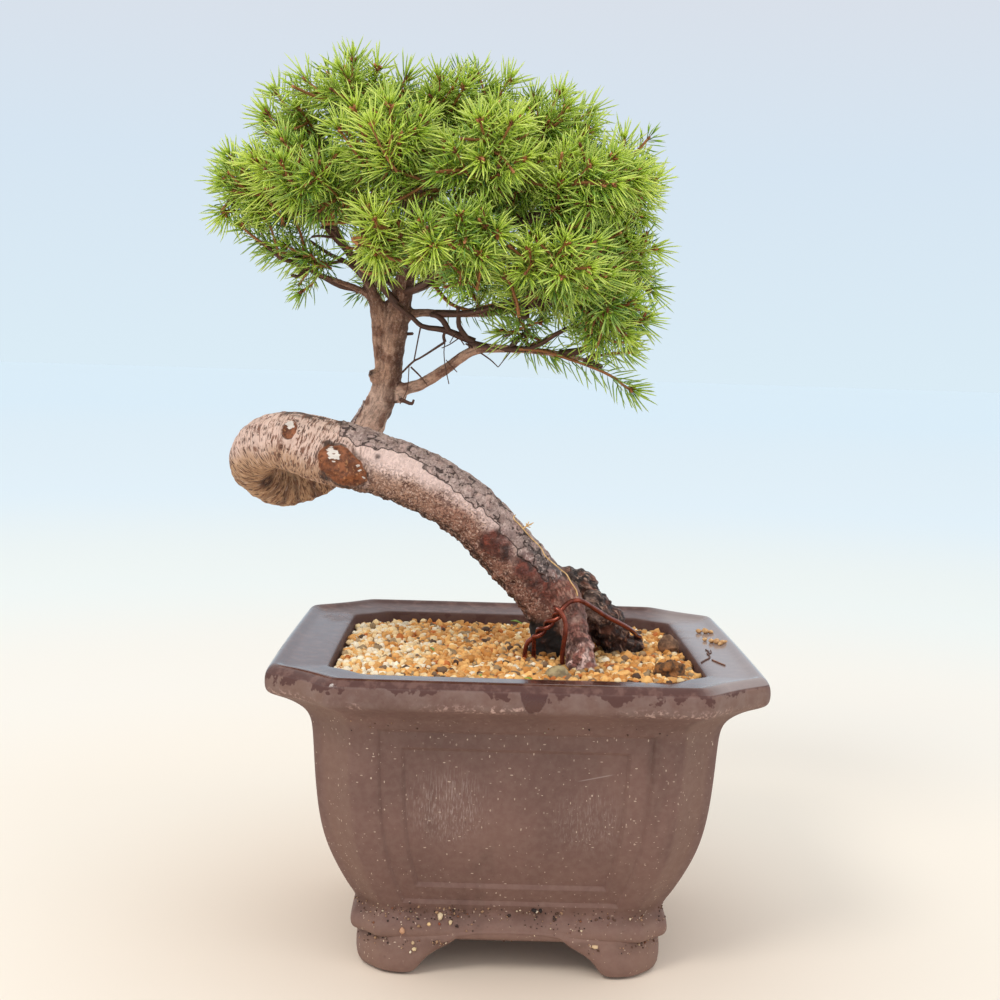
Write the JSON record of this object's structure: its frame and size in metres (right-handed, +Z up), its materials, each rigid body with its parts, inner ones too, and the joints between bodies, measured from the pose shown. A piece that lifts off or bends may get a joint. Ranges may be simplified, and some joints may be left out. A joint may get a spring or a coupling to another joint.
{
  "type": "white spruce bonsai",
  "caption": "Small bonsai spruce with a leaning curled trunk and a dense needled crown, wired into a footed square stoneware pot of granular soil.",
  "frame": {"origin": "middle of the footprint of the whole object, on the surface that the pot's feet stand on", "axes": "+Z up; -Y is the front, where the trunk leans to the left and the roots show; +X to the viewer's right"},
  "size_m": [0.2174, 0.1734, 0.3508],
  "materials": {
    "stoneware": "unglazed brown stoneware with pale grit, wet and glossy on the rim",
    "soil": "dry porous grains, tan, cream, orange and grey",
    "bark": "pinkish grey bark with dark cross lines and flaking plates",
    "twig": "orange brown young twigs and buds",
    "needles": "fresh yellow green needles, deeper green inside the crown",
    "copper": "annealed copper-coloured wire, dark red brown",
    "screen_plastic": "moulded black mesh",
    "clip_steel": "plain bent wire",
    "straw": "dry yellow fibre",
    "pale_stone": "matt pale olive pumice",
    "brown_stone": "matt brown lava grit"
  },
  "bodies": {
    "root": {"pot": "stoneware", "tree_wood": "bark", "anchor_wire": "copper", "straw_fibre": "straw", "drain_screen_left": "screen_plastic", "drain_screen_right": "screen_plastic", "screen_clip_left": "clip_steel", "screen_clip_right": "clip_steel", "soil_bed": "soil", "pale_stone": "pale_stone", "brown_stone": "brown_stone", "dark_clod": "brown_stone", "rim_grain_1": "soil", "rim_grain_2": "soil", "rim_grain_3": "soil", "rim_twig": "bark", "fallen_needle": "straw", "foliage_01": "needles", "foliage_02": "needles", "foliage_03": "needles", "foliage_04": "needles", "foliage_05": "needles", "foliage_06": "needles", "foliage_07": "needles", "foliage_08": "needles", "foliage_09": "needles", "foliage_10": "needles", "foliage_11": "needles", "foliage_12": "needles", "foliage_13": "needles", "foliage_14": "needles", "foliage_15": "needles", "foliage_16": "needles", "foliage_17": "needles", "foliage_18": "needles", "foliage_19": "needles", "foliage_20": "needles", "foliage_21": "needles", "foliage_22": "needles", "foliage_23": "needles", "foliage_24": "needles", "foliage_25": "needles"}
  },
  "joints": []
}
